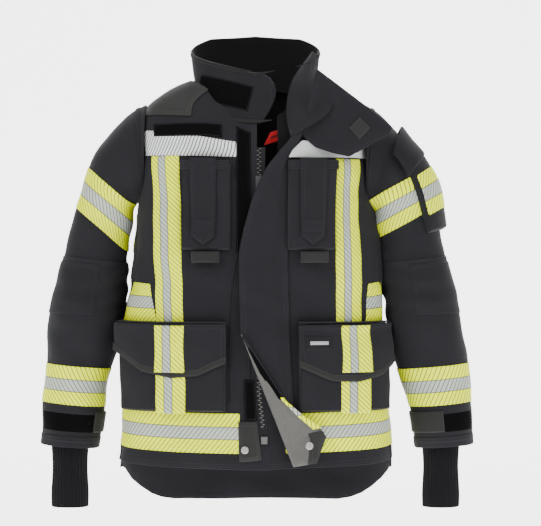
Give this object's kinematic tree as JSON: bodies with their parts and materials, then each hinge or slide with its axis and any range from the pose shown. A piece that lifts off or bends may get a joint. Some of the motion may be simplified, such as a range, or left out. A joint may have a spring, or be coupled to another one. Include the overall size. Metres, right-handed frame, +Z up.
{
  "type": "turnout coat",
  "caption": "Firefighter turnout coat, open at the collar, with reflective tapes, storm flap over a zip, cargo and radio pockets and knitted wristlets.",
  "frame": {"origin": "centre of the neck opening, level with the back collar seam, where a hanger or shoulders carry the coat", "axes": "+Z up, front of the coat faces -Y, the wearer's left is +X"},
  "size_m": [0.8538, 0.337, 0.9189],
  "materials": {
    "shell_cloth": "ripstop aramid weave",
    "tail_cloth": "ripstop aramid weave",
    "liner_cloth": "quilted lining",
    "wear_cloth": "coated wear patch",
    "bright_tape": "fluorescent yellow and silver",
    "striped_tape": "silver with fine diagonals",
    "hook_loop": "hook and loop tape",
    "strap_cloth": "coated webbing",
    "zip_cloth": "woven tape",
    "zip_metal": "darkened",
    "slider_metal": "worn black",
    "snap_metal": "satin",
    "label_cloth": "woven label",
    "badge_cloth": "woven badge",
    "knit": "ribbed knit",
    "collar_cloth": "ripstop aramid weave",
    "collar_liner": "flannel",
    "sleeve_cloth": "ripstop aramid weave"
  },
  "bodies": {
    "coat_body": {"front_panel_right": "shell_cloth", "front_panel_left": "shell_cloth", "back_panel": "tail_cloth", "body_liner": "liner_cloth", "shoulder_pads": "wear_cloth", "chest_tapes": "striped_tape", "hem_tapes": "bright_tape", "back_tapes": "bright_tape", "side_tapes": "bright_tape", "name_panel": "hook_loop", "brace_tapes": "bright_tape", "cargo_pocket_right": "shell_cloth", "cargo_pocket_left": "shell_cloth", "radio_pocket_right": "shell_cloth", "radio_pocket_left": "shell_cloth", "radio_loops": "strap_cloth", "zip_tapes": "zip_cloth", "zip_chain": "zip_metal", "loop_strips": "hook_loop", "hem_patch": "wear_cloth", "snap_stud": "snap_metal", "storm_flap_lower": "shell_cloth", "collar_shell": "collar_cloth", "collar_lining": "collar_liner", "collar_hook_patch": "hook_loop", "collar_end_left": "collar_cloth", "hanger_loop": "strap_cloth", "neck_label": "label_cloth"},
    "storm_flap": {"storm_flap": "shell_cloth"},
    "storm_flap_corner": {"storm_flap_corner": "liner_cloth", "corner_hook_strip": "hook_loop", "corner_patch": "wear_cloth", "snap_socket": "snap_metal"},
    "zip_slider": {"zip_slider": "slider_metal"},
    "zip_pull": {"zip_pull": "slider_metal"},
    "throat_tab": {"throat_tab": "collar_cloth", "throat_tab_patch": "wear_cloth"},
    "radio_strap_right": {"radio_strap_right": "strap_cloth"},
    "radio_strap_left": {"radio_strap_left": "strap_cloth"},
    "pocket_flap_right": {"pocket_flap_right": "shell_cloth", "flap_tape_right": "bright_tape"},
    "pocket_flap_left": {"pocket_flap_left": "shell_cloth", "flap_tape_left": "bright_tape", "brand_patch": "badge_cloth"},
    "upper_sleeve_right": {"upper_sleeve_right": "sleeve_cloth", "upper_arm_tape_right": "bright_tape"},
    "upper_sleeve_left": {"upper_sleeve_left": "sleeve_cloth", "upper_arm_tape_left": "bright_tape", "sleeve_pocket": "shell_cloth"},
    "sleeve_pocket_flap": {"sleeve_pocket_flap": "shell_cloth"},
    "lower_sleeve_right": {"lower_sleeve_right": "sleeve_cloth", "lower_arm_tape_right": "bright_tape", "wristlet_right": "knit", "cuff_loop_strip_right": "hook_loop"},
    "lower_sleeve_left": {"lower_sleeve_left": "sleeve_cloth", "lower_arm_tape_left": "bright_tape", "wristlet_left": "knit", "cuff_loop_strip_left": "hook_loop"},
    "cuff_tab_right": {"cuff_tab_right": "strap_cloth"},
    "cuff_tab_left": {"cuff_tab_left": "strap_cloth"}
  },
  "joints": [
    {"name": "shoulder_right", "type": "hinge", "parent": "coat_body", "child": "upper_sleeve_right", "pos_m": [-0.215, 0, -0.035], "axis": [0, 1, 0], "range_deg": [0, 45]},
    {"name": "shoulder_left", "type": "hinge", "parent": "coat_body", "child": "upper_sleeve_left", "pos_m": [0.215, 0, -0.035], "axis": [0, -1, 0], "range_deg": [0, 45]},
    {"name": "elbow_right", "type": "hinge", "parent": "upper_sleeve_right", "child": "lower_sleeve_right", "pos_m": [-0.325, -0.048, -0.4115], "axis": [-1, 0, 0], "range_deg": [0, 45]},
    {"name": "elbow_left", "type": "hinge", "parent": "upper_sleeve_left", "child": "lower_sleeve_left", "pos_m": [0.325, -0.048, -0.4115], "axis": [-1, 0, 0], "range_deg": [0, 45]},
    {"name": "storm_flap_seam", "type": "hinge", "parent": "coat_body", "child": "storm_flap", "pos_m": [0.062, -0.1509, -0.3], "axis": [0, 0.0426, 0.9991], "range_deg": [0, 80]},
    {"name": "storm_corner_fold", "type": "hinge", "parent": "coat_body", "child": "storm_flap_corner", "pos_m": [-0.026, -0.16357, -0.487], "axis": [0.3632, -0.0397, -0.9309], "range_deg": [0, 160]},
    {"name": "zip_travel", "type": "slide", "parent": "coat_body", "child": "zip_slider", "axis": [0, 0.0426, 0.9991], "range_m": [-0.462, 0.05]},
    {"name": "zip_pull_swing", "type": "hinge", "parent": "zip_slider", "child": "zip_pull", "pos_m": [0.008, -0.14097, -0.201], "axis": [-1, 0, 0], "range_deg": [0, 110]},
    {"name": "throat_tab_seam", "type": "hinge", "parent": "coat_body", "child": "throat_tab", "pos_m": [0.1055, -0.143, -0.043], "axis": [-0.2096, 0, -0.9778], "range_deg": [0, 60]},
    {"name": "radio_strap_swing_right", "type": "hinge", "parent": "coat_body", "child": "radio_strap_right", "pos_m": [-0.096, -0.15254, -0.158], "axis": [-1, 0, 0], "range_deg": [0, 75]},
    {"name": "radio_strap_swing_left", "type": "hinge", "parent": "coat_body", "child": "radio_strap_left", "pos_m": [0.108, -0.15254, -0.158], "axis": [-1, 0, 0], "range_deg": [0, 75]},
    {"name": "pocket_flap_lift_right", "type": "hinge", "parent": "coat_body", "child": "pocket_flap_right", "pos_m": [-0.1503, -0.1683, -0.468], "axis": [-0.9397, 0.342, 0], "range_deg": [0, 120]},
    {"name": "pocket_flap_lift_left", "type": "hinge", "parent": "coat_body", "child": "pocket_flap_left", "pos_m": [0.1503, -0.1683, -0.468], "axis": [-0.9397, -0.342, 0], "range_deg": [0, 120]},
    {"name": "sleeve_pocket_flap_lift", "type": "hinge", "parent": "upper_sleeve_left", "child": "sleeve_pocket_flap", "pos_m": [0.3348, 0, -0.1286], "axis": [0, -1, 0], "range_deg": [0, 90]},
    {"name": "cuff_tab_seam_right", "type": "hinge", "parent": "lower_sleeve_right", "child": "cuff_tab_right", "pos_m": [-0.304, -0.011, -0.662], "axis": [0, 0, 1], "range_deg": [0, 60]},
    {"name": "cuff_tab_seam_left", "type": "hinge", "parent": "lower_sleeve_left", "child": "cuff_tab_left", "pos_m": [0.304, -0.011, -0.662], "axis": [0, 0, -1], "range_deg": [0, 60]}
  ]
}
